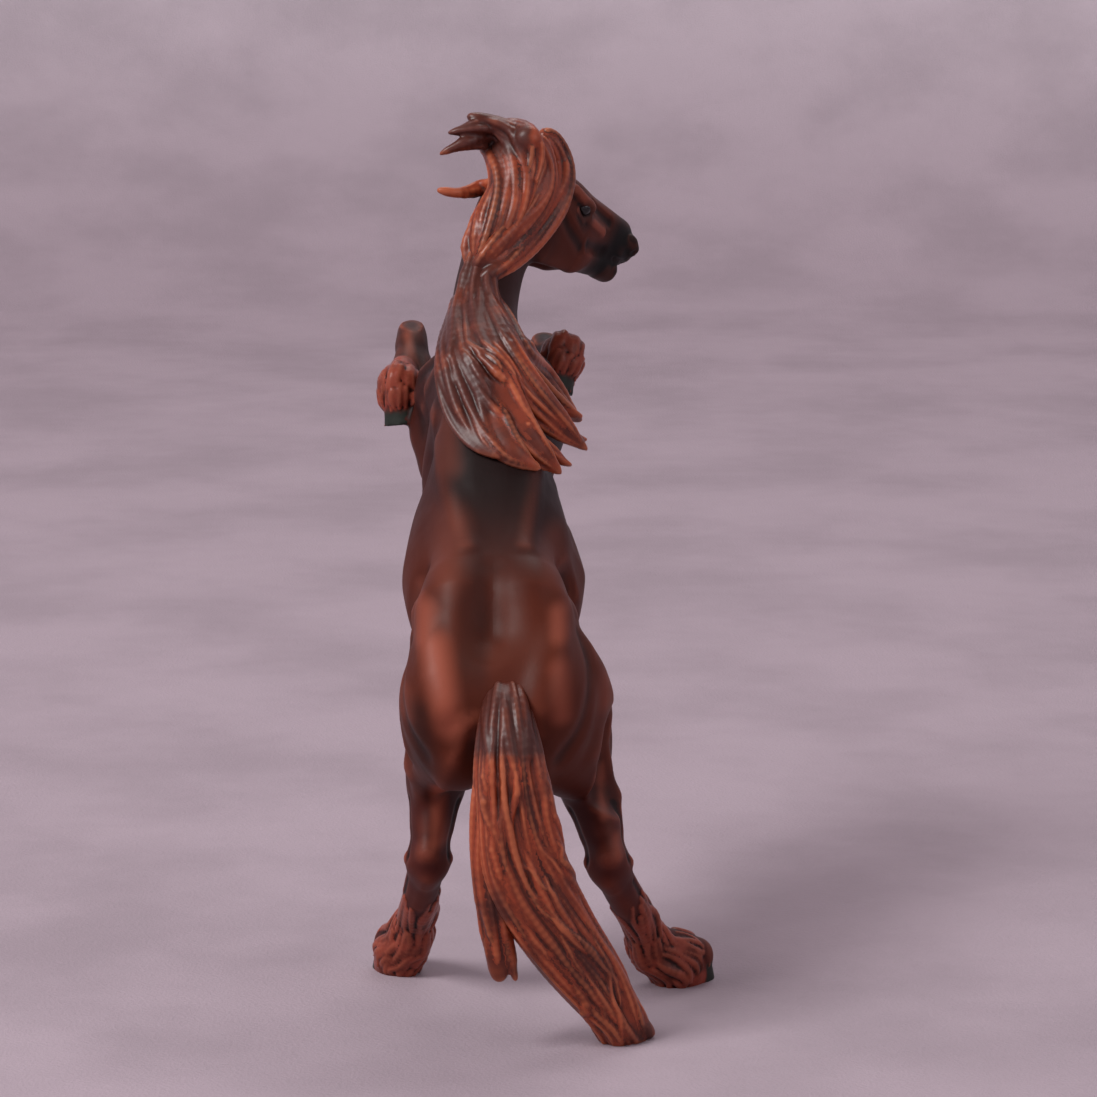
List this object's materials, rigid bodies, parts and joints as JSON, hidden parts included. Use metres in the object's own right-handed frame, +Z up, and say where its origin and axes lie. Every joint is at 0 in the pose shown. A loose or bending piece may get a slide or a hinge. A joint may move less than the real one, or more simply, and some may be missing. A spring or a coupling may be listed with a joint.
{
  "type": "model horse",
  "caption": "Small painted model of a rearing horse with a flowing mane and tail, standing on its hind hooves and the tip of its tail.",
  "frame": {"origin": "on the ground, at the middle of the footprint box of the whole figure", "axes": "+Z up, the horse faces -Y, its left side is +X"},
  "size_m": [0.0342, 0.0614, 0.0835],
  "materials": {
    "coat": "satin liver chestnut paint over a cast body",
    "legs": "satin dark chestnut paint, greenish grey hooves",
    "hair": "satin copper brown paint with dark grooves between the strands",
    "pins": "bare drawn wire"
  },
  "bodies": {
    "root": {"body_left_shell": "coat", "body_right_shell": "coat", "body_front_dowel": "pins", "body_rear_dowel": "pins", "neck": "coat", "neck_dowel": "pins", "head": "coat", "head_dowel": "pins", "left_foreleg": "legs", "left_foreleg_wire": "pins", "right_foreleg": "legs", "right_foreleg_wire": "pins", "left_hind_leg": "legs", "left_hind_wire": "pins", "right_hind_leg": "legs", "right_hind_wire": "pins", "tail_main_lock": "hair", "tail_side_lock": "hair", "tail_wire": "pins", "mane_upper_sweep": "hair", "mane_cheek_lock": "hair", "mane_flying_lock": "hair", "mane_withers_fall": "hair"}
  },
  "joints": []
}
